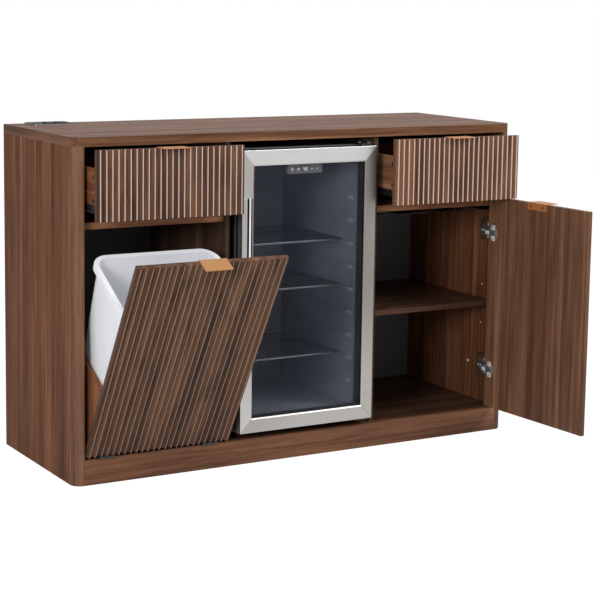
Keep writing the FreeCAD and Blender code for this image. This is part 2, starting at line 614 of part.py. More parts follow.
door_blank = reeded("door_face", "front_in - axis_x", "axis_inset", "d_face", "front_low", "door_top")
cups, arms, pads, wells = [], [], [], []
for i, z in enumerate(("hinge_z1", "hinge_z2")):
    well_y = "axis_set - cup_deep"
    wells.append(rod("cup_well%d" % i, ("d_cup", well_y, z), "cup_radius + cup_play", "cup_deep", "y"))
    shell = rod("cup_shell%d" % i, ("d_cup", well_y, z), "cup_radius", "cup_deep", "y")
    disc = rod("cup_flange%d" % i, ("d_cup", "axis_set", z), "cup_radius + cup_flange_wide",
               "cup_flange", "y")
    ears = board("cup_ears%d" % i, ("d_cup - ear_radius", "d_cup + ear_radius"),
                 ("axis_set", "axis_set + cup_flange"), (z + " - ear_reach", z + " + ear_reach"))
    room = rod("cup_room%d" % i, ("d_cup", well_y + " + cup_floor", z), "cup_radius - cup_wall",
               "cup_deep + cup_flange", "y")
    cup = cut("cup_bowl%d" % i, fuse("cup_solid%d" % i, [shell, disc, ears]), [room])
    pin_half = "sqrt((cup_radius - cup_wall / 2) * (cup_radius - cup_wall / 2) - d_cup * d_cup)"
    pin = rod("cup_pin%d" % i, ("0", "0", z + " - " + pin_half), "hinge_pin", "2 * " + pin_half, "z")
    cups.append(fuse("cup%d" % i, [cup, pin]))
    low, high = z + " - hinge_half", z + " + hinge_half"
    stand = "axis_set + arm_clear"
    reach = "post_in - axis_x"
    strap = [("-arm_back - arm_thick / 2", "-arm_thick / 2"), ("0", "-arm_thick / 2"),
             ("0", "arm_thick / 2"), ("arm_thick / 2 - arm_back", "arm_thick / 2"),
             ("arm_thick / 2 - arm_back", stand), (reach, stand), (reach, stand + " + arm_thick"),
             ("-arm_back - arm_thick / 2", stand + " + arm_thick")]
    arm = prism("arm_strap%d" % i, "XY_Plane", low, high, strap)
    eye = rod("arm_eye%d" % i, ("0", "0", low), "hinge_knuckle", "hinge_half * 2", "z")
    hole = rod("arm_hole%d" % i, ("0", "0", low), "hinge_pin + hinge_play", "hinge_half * 2", "z")
    plate = board("arm_plate%d" % i, (reach + " - arm_thick", reach),
                  (stand, stand + " + arm_plate_long"), (z + " - arm_plate_half", z + " + arm_plate_half"))
    arms.append(cut("arm%d" % i, fuse("arm_whole%d" % i, [arm, eye, plate]), [hole]))
    pads.append(board("hinge_block%d" % i, ("post_in", "side_in"), ("post_back", "post_back + block_long"),
                      (z + " - block_half", z + " + block_half")))
swing("right_door", cut("door_bored", door_blank, wells))
swing("right_door_pull", pull("door_tab", "(front_in + front_out) / 2 - axis_x", "d_face", "door_top"))
swing("right_door_hinge_cups", group("cups", cups))
keep("door_hinge_arms", pose(group("arms", arms), ("axis_x", "axis_y", "0")))
keep("door_hinge_blocks", group("hinge_blocks", pads))

# Drink cooler: sheet case, moulded liner with shelf ledges, wire shelves
case_out = board("case_out", ("-cool_half", "cool_half"), ("cool_front", "cool_back"), ("cool_low", "cool_top"))
case_in = board("case_in", ("shell - cool_half", "cool_half - shell"), ("cool_front", "cool_back - shell"),
                ("cool_low + shell", "cool_top - shell"))
keep("fridge_case", cut("case", case_out, [case_in]))
flange_x = ("shell - cool_half", "cool_half - shell")
liner_parts = [
    board("liner_flange", flange_x, ("cool_front", "cool_front + liner"),
          ("cool_low + shell", "cool_top - shell")),
    board("liner_box", ("-cav_half - liner", "cav_half + liner"), ("cool_front", "cav_back + liner"),
          ("cav_low - liner", "cav_top + liner"))]
liner_room = board("liner_room", ("-cav_half", "cav_half"), ("cool_front", "cav_back"), ("cav_low", "cav_top"))
liner = cut("liner_shell", fuse("liner_solid", liner_parts), [liner_room])
ledges = []
for k in range(int(number("ledge_count"))):
    top_z = "cav_low + ledge_first + %d * ledge_pitch" % k
    for j, span in enumerate((("-cav_half", "ledge_reach - cav_half"), ("cav_half - ledge_reach", "cav_half"))):
        ledges.append(board("ledge%d%d" % (k, j), span, ("front + ledge_front", "cav_back - ledge_back"),
                            (top_z + " - ledge_high", top_z)))
keep("fridge_liner", fuse("liner_ledged", [liner] + ledges))

shelves = []
for i, k in enumerate((1, 4, 6)):
    z0 = "cav_low + ledge_first + %d * ledge_pitch" % k
    x0, x1 = "rack_play - cav_half", "cav_half - rack_play"
    y0, y1 = "front + ledge_front + wire_front / 2", "cav_back - wire_back"
    frame = rect(x0, x1, y0, y1)
    inside = rect(x0 + " + wire", x1 + " - wire", y0 + " + wire", y1 + " - wire")
    body = prism("wire_shelf%d" % i, "XY_Plane", z0, z0 + " + wire", frame, inside)
    gap = "(%s - (%s)) / (wire_count + 1)" % (x1, x0)
    first = "%s + %s" % (x0, gap)
    strand = rect(first + " - wire_thin / 2", first + " + wire_thin / 2", y0 + " + wire / 2", y1 + " - wire / 2")
    sketch = outline(body, "strand%d" % i, "XY_Plane", z0 + " + wire - wire_thin", strand)
    pad = feature(body, "Pad", "strand_pad%d" % i, sketch, "wire_thin")
    doc.recompute()
    spread = body.newObject("PartDesign::LinearPattern", "strands%d" % i)
    spread.Originals = [pad]
    spread.Direction = ([f for f in body.Origin.OriginFeatures if f.Role == "X_Axis"][0], [""])
    spread.setExpression("Length", bind("(%s) * (wire_count - 1)" % gap))
    spread.setExpression("Occurrences", bind("wire_count"))
    body.Tip = spread
    shelves.append(body)
keep("fridge_shelves", group("wire_shelves", shelves))

panel_y = "cool_front + liner + panel_set"
panel_shape = [(panel_y, "cav_top - panel_high"), (panel_y + " + panel_deep", "cav_top - panel_high"),
               (panel_y + " + panel_deep + panel_slope", "cav_top"), (panel_y, "cav_top")]
keep("fridge_control_panel", prism("control_strip", "YZ_Plane", "-panel_left", "panel_right", panel_shape))
feet = []
for i, x in enumerate(("foot_inset - cool_half", "cool_half - foot_inset")):
    for j, y in enumerate(("cool_front + foot_inset", "cool_back - foot_inset")):
        feet.append(rod("foot%d%d" % (i, j), (x, y, "plinth_height"), "foot_radius", "foot_high"))
keep("fridge_feet", group("feet", feet))
brackets = []
for i, (low, high, pin_low, pin_high) in enumerate((
        ("cool_low - swing_plate", "cool_low", "cool_low", "glaze_bottom + swing_reach"),
        ("cool_top", "cool_top + swing_plate", "glaze_top - swing_reach", "cool_top"))):
    plate = board("swing_plate%d" % i, ("cool_half - swing_wide", "cool_half"),
                  ("swing_y - swing_inset", "swing_y - swing_inset + swing_long"), (low, high))
    stub = rod("swing_stub%d" % i, ("swing_x", "swing_y", pin_low), "swing_pin",
               "%s - (%s)" % (pin_high, pin_low))
    brackets.append(fuse("bracket%d" % i, [plate, stub]))
keep("fridge_hinge_brackets", group("brackets", brackets))

# Cooler door: mitred steel trims on a dark core that holds two panes and the seal
corner = {"lo": ("-glaze_half", "glaze_bottom"), "ro": ("glaze_half", "glaze_bottom"),
          "rt": ("glaze_half", "glaze_top"), "lt": ("-glaze_half", "glaze_top"),
          "li": ("-see_half", "see_low"), "ri": ("see_half", "see_low"),
          "ui": ("see_half", "see_top"), "vi": ("-see_half", "see_top")}
for name, keys in (("fridge_trim_bottom", "lo ro ri li"), ("fridge_trim_right", "ro rt ui ri"),
                   ("fridge_trim_top", "rt lt vi ui"), ("fridge_trim_left", "lt lo li vi")):
    keep(name, prism(name + "_bar", "XZ_Plane", "glaze_face", "core_front",
                     [corner[key] for key in keys.split()]))
core_out = board("core_out", ("-glaze_half", "glaze_half"), ("core_front", "core_rear"),
                 ("glaze_bottom", "glaze_top"))
seat_x = ("-see_half - pane_seat", "see_half + pane_seat")
seat_z = ("see_low - pane_seat", "see_top + pane_seat")
front_pane = ("core_front", "core_front + pane")
rear_pane = ("core_rear - pane", "core_rear")
core_cuts = [
    board("core_window", ("-see_half", "see_half"), ("core_front", "core_rear"), ("see_low", "see_top")),
    board("core_seat_front", seat_x, front_pane, seat_z),
    board("core_seat_rear", seat_x, rear_pane, seat_z),
    board("core_grip", ("-glaze_half", "grip_deep - glaze_half"),
          ("front + grip_front", "front + grip_front + grip_wide"), ("glaze_bottom", "glaze_top"))]
for i, z in enumerate(("glaze_bottom", "glaze_top - swing_reach")):
    core_cuts.append(rod("core_bore%d" % i, ("swing_x", "swing_y", z), "swing_pin + swing_play", "swing_reach"))
keep("fridge_door_core", cut("core", core_out, core_cuts))
keep("fridge_door_glass", group("panes", [board("pane_front", seat_x, front_pane, seat_z),
                                          board("pane_rear", seat_x, rear_pane, seat_z)]))
seal = prism("seal", "XZ_Plane", "core_rear", "cool_front - seal_gap",
             rect("seal_inset - glaze_half", "glaze_half - seal_inset",
                  "glaze_bottom + seal_inset", "glaze_top - seal_inset"),
             rect("seal_inset + seal_wide - glaze_half", "glaze_half - seal_inset - seal_wide",
                  "glaze_bottom + seal_inset + seal_wide", "glaze_top - seal_inset - seal_wide"))
keep("fridge_door_gasket", seal)

# Test every object, then write each piece
doc.removeObject("Gauge")
doc.recompute()
for item in doc.Objects:
    if "Invalid" in item.State or "Error" in item.State:
        raise RuntimeError("failed: %s %s" % (item.Name, item.State))
for name, item in nodes.items():
    shape = item.Shape
    if shape.isNull() or not shape.isValid() or not shape.Solids:
        raise RuntimeError("bad shape: " + name)
for name, item in nodes.items():
    item.Shape.exportStep("parts/%s.step" % name)
print(len(nodes), "nodes,", sum(len(item.Shape.Solids) for item in nodes.values()), "solids")
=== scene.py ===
import bpy
import bmesh
import math
from mathutils import Matrix, Vector


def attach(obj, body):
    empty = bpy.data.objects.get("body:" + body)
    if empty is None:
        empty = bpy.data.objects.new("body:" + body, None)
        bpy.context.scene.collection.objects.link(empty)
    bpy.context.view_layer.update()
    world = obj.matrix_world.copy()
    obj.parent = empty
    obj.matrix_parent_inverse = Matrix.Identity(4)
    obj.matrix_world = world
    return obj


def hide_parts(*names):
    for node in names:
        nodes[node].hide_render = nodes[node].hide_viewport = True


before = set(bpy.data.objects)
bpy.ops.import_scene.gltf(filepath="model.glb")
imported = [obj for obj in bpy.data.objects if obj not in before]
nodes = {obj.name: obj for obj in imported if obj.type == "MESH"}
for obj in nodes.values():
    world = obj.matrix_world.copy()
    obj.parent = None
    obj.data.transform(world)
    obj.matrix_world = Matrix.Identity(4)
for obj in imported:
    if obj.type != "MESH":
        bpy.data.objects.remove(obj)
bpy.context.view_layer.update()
scene = bpy.context.scene
scene.view_settings.view_transform = "Standard"
print("frame loaded:", len(nodes), "nodes")


# colours are written as they look on a screen, 0 to 255
def tint(red, green, blue):
    parts = []
    for value in (red, green, blue):
        value /= 255
        parts.append(value / 12.92 if value <= 0.04045 else ((value + 0.055) / 1.055) ** 2.4)
    return (*parts, 1.0)


def addNode(tree, kind, settings=None, **sockets):
    node = tree.nodes.new(kind)
    for key, value in (settings or {}).items():
        setattr(node, key, value)
    for key, value in sockets.items():
        node.inputs[key.replace("_", " ")].default_value = value
    return node


def addRamp(tree, source, stops):
    ramp = tree.nodes.new("ShaderNodeValToRGB")
    band = ramp.color_ramp
    while len(band.elements) < len(stops):
        band.elements.new(0.5)
    for element, (place, colour) in zip(band.elements, stops):
        element.position = place
        element.color = colour
    tree.links.new(source, ramp.inputs["Fac"])
    return ramp.outputs["Color"]


def startFinish(name, **sockets):
    finish = bpy.data.materials.new(name)
    finish.use_nodes = True
    shader = finish.node_tree.nodes["Principled BSDF"]
    for key, value in sockets.items():
        shader.inputs[key.replace("_", " ")].default_value = value
    return finish, finish.node_tree, shader


# noise stretched along one direction of the object, which may first be turned upright
def streaks(tree, scale, detail=5.0, rough=0.6, twist=0.0, offset=(0, 0, 0), turn=(0, 0, 0)):
    place = addNode(tree, "ShaderNodeTexCoord")
    upright = addNode(tree, "ShaderNodeMapping", Rotation=turn)
    stretch = addNode(tree, "ShaderNodeMapping", Scale=scale, Location=offset)
    noise = addNode(tree, "ShaderNodeTexNoise", Scale=1.0, Detail=detail, Roughness=rough, Distortion=twist)
    tree.links.new(place.outputs["Object"], upright.inputs["Vector"])
    tree.links.new(upright.outputs["Vector"], stretch.inputs["Vector"])
    tree.links.new(stretch.outputs["Vector"], noise.inputs["Vector"])
    return noise.outputs["Fac"]


def blendColours(tree, mode, amount, first, second):
    mix = addNode(tree, "ShaderNodeMix", {"data_type": "RGBA", "blend_type": mode})
    mix.inputs["Factor"].default_value = amount
    tree.links.new(first, mix.inputs[6])
    tree.links.new(second, mix.inputs[7])
    return mix.outputs[2]


# roughness that follows a pattern between two of its values
def addGloss(tree, shader, source, stops):
    ramp = addRamp(tree, source, [(place, (rough, rough, rough, 1)) for place, rough in stops])
    tree.links.new(ramp, shader.inputs["Roughness"])


def addBump(tree, shader, height, strength, distance):
    bump = addNode(tree, "ShaderNodeBump", Strength=strength, Distance=distance)
    tree.links.new(height, bump.inputs["Height"])
    tree.links.new(bump.outputs["Normal"], shader.inputs["Normal"])


# walnut foil: broad figure, narrow growth lines and short pores, all drawn out along the grain
walnutLook = {
    "dark": (64, 41, 30), "mid": (106, 72, 52), "light": (138, 99, 72),
    "figure": 20.0, "lines": 95.0, "pores": 520.0, "stretch": 0.028, "roughness": 0.42,
    "lineDark": (0.62, 0.57, 0.54, 1), "lineShare": 0.85,
    "poreDark": (0.66, 0.62, 0.6, 1), "poreShare": 0.65, "poreRough": 0.12, "poreDepth": 0.12,
    "flame": 15.0, "flameStretch": 0.2, "flameDark": (0.44, 0.40, 0.38, 1),
    "endFacing": 0.6, "endShift": 1.7,
}
white = (1, 1, 1, 1)
# flutes: how many across a front, and how softly the painted highlight on a crest ends
fluteLook = {"count": 25, "fade": 0.03}


def stepDown(tree, source, low, high, edge, fade):
    spread = addNode(tree, "ShaderNodeMapRange", {"interpolation_type": "SMOOTHSTEP"})
    for key, value in (("From Min", low), ("From Max", high), ("To Min", edge), ("To Max", fade)):
        spread.inputs[key].default_value = value
    tree.links.new(source, spread.inputs["Value"])
    return spread.outputs["Result"]


# painted highlight lines over the crests: counted across the front from its left end, and only on its
# foremost skin
def paintedCrestHighlights(tree, colour, flutes):
    node = nodes[flutes["node"]]
    lean, swing = math.radians(flutes.get("lean", 0.0)), math.radians(flutes.get("swing", 0.0))
    turn = Matrix.Rotation(swing, 4, "Z") @ Matrix.Rotation(lean, 4, "X")
    upright = [turn @ v.co for v in node.data.vertices]
    left, right = min(v.x for v in upright), max(v.x for v in upright)
    front = min(v.y for v in upright)
    place = addNode(tree, "ShaderNodeTexCoord")
    level = addNode(tree, "ShaderNodeMapping", Rotation=(lean, 0, swing))
    split = addNode(tree, "ShaderNodeSeparateXYZ")
    tree.links.new(place.outputs["Object"], level.inputs["Vector"])
    tree.links.new(level.outputs["Vector"], split.inputs["Vector"])
    chain = split.outputs["X"]
    for operation, amount in (("SUBTRACT", left), ("DIVIDE", (right - left) / fluteLook["count"]),
                              ("FRACT", 0.0), ("SUBTRACT", 0.5), ("ABSOLUTE", 0.0)):
        step = addNode(tree, "ShaderNodeMath", {"operation": operation})
        step.inputs[1].default_value = amount
        tree.links.new(chain, step.inputs[0])
        chain = step.outputs[0]
    line = stepDown(tree, chain, flutes["land"], flutes["land"] + fluteLook["fade"], 1.0, 0.0)
    skin = stepDown(tree, split.outputs["Y"], front + flutes["skin"] * 0.5, front + flutes["skin"], 1.0, 0.0)
    both = addNode(tree, "ShaderNodeMath", {"operation": "MULTIPLY"})
    tree.links.new(line, both.inputs[0])
    tree.links.new(skin, both.inputs[1])
    mix = addNode(tree, "ShaderNodeMix", {"data_type": "RGBA", "blend_type": "MIX"})
    tree.links.new(both.outputs[0], mix.inputs["Factor"])
    tree.links.new(colour, mix.inputs[6])
    mix.inputs[7].default_value = tint(*flutes["crestHighlight"])
    return mix.outputs[2]


def woodColour(tree, grain, shift, tone, flame, warmth, turn):
    look = walnutLook

    def scaled(across, stretch=look["stretch"]):
        return tuple(across * stretch if axis == grain else across for axis in "XYZ")

    share = (tone, tone * warmth, tone * warmth ** 2)
    dark, mid, light = [tint(*[channel * part for channel, part in zip(look[key], share)])
                        for key in ("dark", "mid", "light")]
    figure = streaks(tree, scaled(look["figure"]), 6.0, 0.62, 0.9, (shift, shift * 0.7, shift * 1.3), turn)
    lines = streaks(tree, scaled(look["lines"]), 4.0, 0.6, 0.4, (shift * 2, shift, shift), turn)
    pores = streaks(tree, scaled(look["pores"]), 3.0, 0.7, 0.0, (shift, shift, shift * 3), turn)
    body = addRamp(tree, figure, [(0.30, dark), (0.50, mid), (0.70, light)])
    growth = addRamp(tree, lines, [(0.34, look["lineDark"]), (0.56, white)])
    fleck = addRamp(tree, pores, [(0.36, look["poreDark"]), (0.50, white)])
    grained = blendColours(tree, "MULTIPLY", look["lineShare"], body, growth)
    colour = blendColours(tree, "MULTIPLY", look["poreShare"], grained, fleck)
    broad = scaled(look["flame"], look["flameStretch"])
    clouds = streaks(tree, broad, 4.0, 0.62, 1.2, (shift, shift, shift), turn)
    shade = addRamp(tree, clouds, [(0.36, look["flameDark"]), (0.54, white)])
    return blendColours(tree, "MULTIPLY", flame, colour, shade), pores


# shift moves the pattern so that no two boards match, and a warmth under 1 is redder;
# a board's ends may carry the edge foil, whose grain runs another way
def makeWalnut(name, grain, shift=0.0, tone=1.0, flutes=None, sheen=0.14, flame=0.3, warmth=1.0, ends=None):
    look = walnutLook
    finish, tree, shader = startFinish(name, Specular_IOR_Level=sheen)
    turn = (math.radians((flutes or {}).get("lean", 0.0)), 0, 0)
    colour, pores = woodColour(tree, grain, shift, tone, flame, warmth, turn)
    if ends:
        other, skipped = woodColour(tree, ends, shift * look["endShift"], tone, flame, warmth, turn)
        facing = addNode(tree, "ShaderNodeNewGeometry")
        split = addNode(tree, "ShaderNodeSeparateXYZ")
        across = addNode(tree, "ShaderNodeMath", {"operation": "ABSOLUTE"})
        side = addNode(tree, "ShaderNodeMath", {"operation": "GREATER_THAN"})
        side.inputs[1].default_value = look["endFacing"]
        tree.links.new(facing.outputs["True Normal"], split.inputs["Vector"])
        tree.links.new(split.outputs[grain], across.inputs[0])
        tree.links.new(across.outputs[0], side.inputs[0])
        mix = addNode(tree, "ShaderNodeMix", {"data_type": "RGBA", "blend_type": "MIX"})
        tree.links.new(side.outputs[0], mix.inputs["Factor"])
        tree.links.new(colour, mix.inputs[6])
        tree.links.new(other, mix.inputs[7])
        colour = mix.outputs[2]
    if flutes:
        colour = paintedCrestHighlights(tree, colour, flutes)
    tree.links.new(colour, shader.inputs["Base Color"])
    addGloss(tree, shader, pores, [(0.3, look["roughness"] + look["poreRough"]), (0.6, look["roughness"])])
    addBump(tree, shader, pores, look["poreDepth"], 0.0004)
    return finish


# brushed metals: fine scratches along one direction
def makeBrushed(name, colour, roughness, grain, scratch=900.0, depth=0.05, metallic=1.0, drift=0.0):
    finish, tree, shader = startFinish(name, Metallic=metallic, Base_Color=tint(*colour))
    # drift clouds the colour; on the cooler trims it is painted reflection
    if drift:
        cloud = streaks(tree, (1.6, 1.6, 1.6), 1.0, 0.4)
        pair = [tint(*[channel * (1 + side * drift) for channel in colour]) for side in (-1, 1)]
        tree.links.new(addRamp(tree, cloud, [(0.38, pair[0]), (0.62, pair[1])]), shader.inputs["Base Color"])
    scale = tuple(scratch * 0.006 if axis == grain else scratch for axis in "XYZ")
    lines = streaks(tree, scale, 3.0, 0.7)
    addGloss(tree, shader, lines, [(0.3, roughness - 0.07), (0.7, roughness + 0.09)])
    addBump(tree, shader, lines, depth, 0.0002)
    return finish


# moulded or lacquered pieces: fine pebble in the surface and a slight drift of tone
def makeMoulded(name, colour, roughness, pebble=700.0, depth=0.08, drift=0.08, metallic=0.0):
    finish, tree, shader = startFinish(name, Metallic=metallic)
    low = tint(*[channel * (1 - drift) for channel in colour])
    high = tint(*[min(255, channel * (1 + drift)) for channel in colour])
    cloud = streaks(tree, (7, 7, 7), 4.0, 0.6)
    grit = streaks(tree, (pebble,) * 3, 2.0, 0.5)
    tree.links.new(addRamp(tree, cloud, [(0.35, low), (0.65, high)]), shader.inputs["Base Color"])
    addGloss(tree, shader, grit, [(0.3, roughness - 0.05), (0.7, roughness + 0.06)])
    addBump(tree, shader, grit, depth, 0.0003)
    return finish


def makeGlass(name):
    finish, tree, shader = startFinish(name, Roughness=0.03, IOR=1.45, Alpha=0.05, Specular_IOR_Level=0.12)
    smear = streaks(tree, (2, 2, 2), 2.0, 0.5)
    haze = addRamp(tree, smear, [(0.3, tint(60, 66, 78)), (0.7, tint(84, 90, 102))])
    tree.links.new(haze, shader.inputs["Base Color"])
    return finish


# small lit or pale marks of one colour
def makeMark(name, colour, glow=0.0, sheen=0.5):
    paint = tint(*colour)
    return startFinish(name, Roughness=0.5, Base_Color=paint, Specular_IOR_Level=sheen,
                       Emission_Color=paint, Emission_Strength=glow)[0]


# crest colours are painted highlights on one foil: lighter on the drawer fronts, darker on the leaned tilt
# door and the side door, as lit and shaded copies
leftFlutes = {"node": "left_drawer_front", "land": 0.085, "skin": 0.0024, "crestHighlight": (180, 157, 144)}
rightFlutes = {"node": "right_drawer_front", "land": 0.10, "skin": 0.003, "crestHighlight": (184, 158, 142)}
tiltFlutes = {"node": "tilt_door", "land": 0.042, "skin": 0.0012, "crestHighlight": (138, 121, 109), "lean": -30.0}
doorFlutes = {"node": "right_door", "land": 0.042, "skin": 0.0012, "crestHighlight": (138, 121, 109), "swing": -93.0}
# the walnut finishes are copies of one foil whose tone and warmth are set piece by piece to the light each
# piece gets, so their differences are partly painted light and shade
finishes = {
    "walnutUp": makeWalnut("walnutUp", "Z", sheen=0.02, flame=0.25, warmth=0.95),
    "walnutPost": makeWalnut("walnutPost", "Z", 1.7, tone=0.94, sheen=0.2),
    "walnutAcross": makeWalnut("walnutAcross", "X", 3.1, tone=1.03),
    "walnutTop": makeWalnut("walnutTop", "X", 5.3, tone=0.98, sheen=0.05, ends="Y"),
    "walnutReedLeft": makeWalnut("walnutReedLeft", "Z", 7.7, tone=0.87, flutes=leftFlutes, flame=0.8),
    "walnutReedRight": makeWalnut("walnutReedRight", "Z", 9.2, tone=0.93, flutes=rightFlutes, flame=0.7),
    "walnutTilt": makeWalnut("walnutTilt", "Z", 2.4, tone=0.87, flutes=tiltFlutes, flame=0.85),
    "walnutDoor": makeWalnut("walnutDoor", "Z", 12.6, tone=1.03, flutes=doorFlutes, warmth=1.03),
    "walnutInside": makeWalnut("walnutInside", "Z", 15.5, tone=0.79, warmth=1.12),
    "walnutShelf": makeWalnut("walnutShelf", "X", 17.1, tone=0.72, warmth=1.03),
    # walnutRail is lightened against the shade under the drawers, as painted light
    "walnutRail": makeWalnut("walnutRail", "X", 21.9, tone=1.35),
    "walnutCheek": makeWalnut("walnutCheek", "Z", 25.3, tone=1.12, warmth=0.94),
    "walnutBoxLeft": makeWalnut("walnutBoxLeft", "Y", 19.4, tone=1.07, warmth=0.9),
    "walnutBoxRight": makeWalnut("walnutBoxRight", "Y", 19.4, tone=1.24, warmth=1.03),
    "blackBoard": makeMoulded("blackBoard", (84, 84, 85), 0.6, 500.0, 0.2, 0.03),
    "brass": makeBrushed("brass", (158, 112, 65), 0.44, "X", metallic=0.5),
    "copper": makeBrushed("copper", (172, 112, 66), 0.46, "X", metallic=0.3),
    "brassDoor": makeBrushed("brassDoor", (176, 112, 66), 0.44, "Y", metallic=0.4),
    # the trim finishes are copies of one brushed steel, lighter or darker by trim as painted light and shade,
    # with drift clouds as painted reflection; steelSide is a dark copy as painted shade on the door's sides
    "steelUp": makeBrushed("steelUp", (150, 146, 141), 0.32, "Z", drift=0.14),
    "steelLeft": makeBrushed("steelLeft", (182, 179, 175), 0.32, "Z", drift=0.1),
    "steelLipHighlight": makeBrushed("steelLipHighlight", (226, 224, 221), 0.3, "Z", metallic=0.5),
    "steelAcross": makeBrushed("steelAcross", (204, 203, 202), 0.32, "X", drift=0.06),
    "steelLow": makeBrushed("steelLow", (154, 151, 148), 0.32, "X", drift=0.12),
    "steelSide": makeMoulded("steelSide", (104, 98, 93), 0.42, 900.0, 0.04, 0.05, 0.4),
    "nickel": makeBrushed("nickel", (196, 190, 182), 0.26, "Z", 600.0),
    "gunmetal": makeBrushed("gunmetal", (92, 94, 94), 0.4, "Z", 600.0, metallic=0.45),
    "hingeSilver": makeBrushed("hingeSilver", (150, 149, 146), 0.4, "Z", 600.0, metallic=0.4),
    "hingeHighlight": makeBrushed("hingeHighlight", (226, 222, 216), 0.3, "Z", 600.0, metallic=0.3),
    "screwDark": makeBrushed("screwDark", (60, 56, 52), 0.4, "Z", 600.0),
    "shelfWire": makeBrushed("shelfWire", (92, 94, 100), 0.4, "Y", 600.0),
    "shelfTrim": makeBrushed("shelfTrim", (104, 106, 112), 0.4, "X", 600.0),
    "paleCap": makeMark("paleCap", (205, 203, 200)),
    "ledgeHighlight": makeMoulded("ledgeHighlight", (126, 131, 141), 0.5),
    "holeShade": makeMark("holeShade", (16, 14, 13)),
    "outletBlack": makeMark("outletBlack", (40, 41, 43), sheen=0.04),
    "outletGrey": makeMark("outletGrey", (64, 66, 68), sheen=0.08),
    "iconGrey": makeMark("iconGrey", (170, 174, 182), 1.3),
    "digitBlue": makeMark("digitBlue", (178, 196, 226), 1.1),
    "blackMetal": makeMoulded("blackMetal", (24, 24, 25), 0.42, 900.0, 0.06),
    "blackPlastic": makeMoulded("blackPlastic", (26, 27, 30), 0.46),
    "stripGrey": makeMoulded("stripGrey", (107, 105, 106), 0.5),
    "linerPlastic": makeMoulded("linerPlastic", (100, 104, 112), 0.5),
    "sealRubber": makeMoulded("sealRubber", (22, 22, 23), 0.7, 600.0, 0.1),
    "binPlastic": makeMoulded("binPlastic", (222, 224, 229), 0.38, 900.0, 0.04, 0.015),
    "clearGlass": makeGlass("clearGlass"),
}
print("finishes made:", len(finishes))

# which finish each solid wears
wears = {
    "walnutUp": ["left_side_panel", "right_side_panel"],
    "walnutPost": ["left_corner_post", "right_corner_post"],
    "walnutAcross": ["front_plinth"],
    "walnutTop": ["top_panel"],
    "walnutReedLeft": ["left_drawer_front"],
    "walnutReedRight": ["right_drawer_front"],
    "walnutTilt": ["tilt_door"],
    "walnutDoor": ["right_door"],
    "walnutInside": ["left_divider", "right_divider", "door_hinge_blocks"],
    "walnutCheek": ["tilt_cheeks"],
    "walnutShelf": ["bottom_panel", "base_bearers", "adjustable_shelf", "tilt_base", "tilt_rail",
                    "back_rail"],
    "walnutRail": ["left_drawer_shelf", "right_drawer_shelf"],
    "walnutBoxLeft": ["left_drawer_sides", "left_drawer_back", "left_drawer_bottom", "runner_battens"],
    "walnutBoxRight": ["right_drawer_sides", "right_drawer_back", "right_drawer_bottom"],
    "blackBoard": ["left_back_panel", "right_back_panel"],
    "brass": ["tilt_pull"],
    "copper": ["left_drawer_pull", "right_drawer_pull"],
    "brassDoor": ["right_door_pull"],
    "steelUp": ["fridge_trim_left", "fridge_trim_right"],
    "steelAcross": ["fridge_trim_top"],
    "steelLow": ["fridge_trim_bottom", "power_socket_bezel"],
    "nickel": ["shelf_pins"],
    "gunmetal": ["door_hinge_arms"],
    "hingeSilver": ["right_door_hinge_cups"],
    "blackMetal": ["cabinet_runners", "left_drawer_runners", "right_drawer_runners", "stemware_rack",
                   "tilt_hinge_base_leaves", "tilt_door_hinge_leaves", "fridge_case", "fridge_hinge_brackets",
                   "fridge_shelves"],
    "blackPlastic": ["fridge_door_core", "fridge_feet"],
    "stripGrey": ["fridge_control_panel"],
    "outletGrey": ["power_socket_body"],
    "linerPlastic": ["fridge_liner"],
    "sealRubber": ["fridge_door_gasket"],
    "binPlastic": ["waste_bin"],
    "clearGlass": ["fridge_door_glass"],
}
# edge softening in millimetres where the real edge is eased, from the angle given in degrees
easing = [
    {"width": 1.2, "segments": 2, "angle": 50.0, "members": [
        "top_panel", "left_side_panel", "right_side_panel", "front_plinth", "left_divider", "right_divider",
        "left_drawer_shelf", "right_drawer_shelf", "adjustable_shelf", "bottom_panel", "tilt_cheeks",
        "left_drawer_sides", "right_drawer_sides", "door_hinge_blocks"]},
    {"width": 0.5, "segments": 2, "angle": 50.0, "members": [
        "left_drawer_pull", "right_drawer_pull", "tilt_pull", "right_door_pull", "power_socket_bezel"]},
    {"width": 0.9, "segments": 2, "angle": 12.0, "members": [
        "left_drawer_front", "right_drawer_front", "tilt_door", "right_door"]},
    {"width": 4.5, "segments": 4, "angle": 50.0, "members": ["waste_bin"]},
]
for finishName, members in wears.items():
    for name in members:
        slots = nodes[name].data.materials
        slots.clear()
        slots.append(finishes[finishName])


def easeEdges(piece, width, segments, angle):
    soften = piece.modifiers.new("eased", "BEVEL")
    soften.width = width / 1000
    soften.segments = segments
    soften.limit_method = "ANGLE"
    soften.angle_limit = math.radians(angle)
    return soften


for group in easing:
    for name in group["members"]:
        easeEdges(nodes[name], group["width"], group["segments"], group["angle"]).harden_normals = True
print("solids dressed")


# fittings are drawn in millimetres, in the cabinet's frame or in that of a leaned or swung front
def frameOf(origin, axis="Z", angle=0.0):
    spin = Matrix.Rotation(math.radians(angle), 4, axis)
    return Matrix.Translation(Vector(origin) / 1000) @ spin @ Matrix.Diagonal((0.001, 0.001, 0.001, 1))


homes = {
    "cabinet": frameOf((0, 0, 0)), "leaned": frameOf((0, -253, 71.5), "X", 30.0),
    "swung": frameOf((657, -240, 0), "Z", 93.0),
}


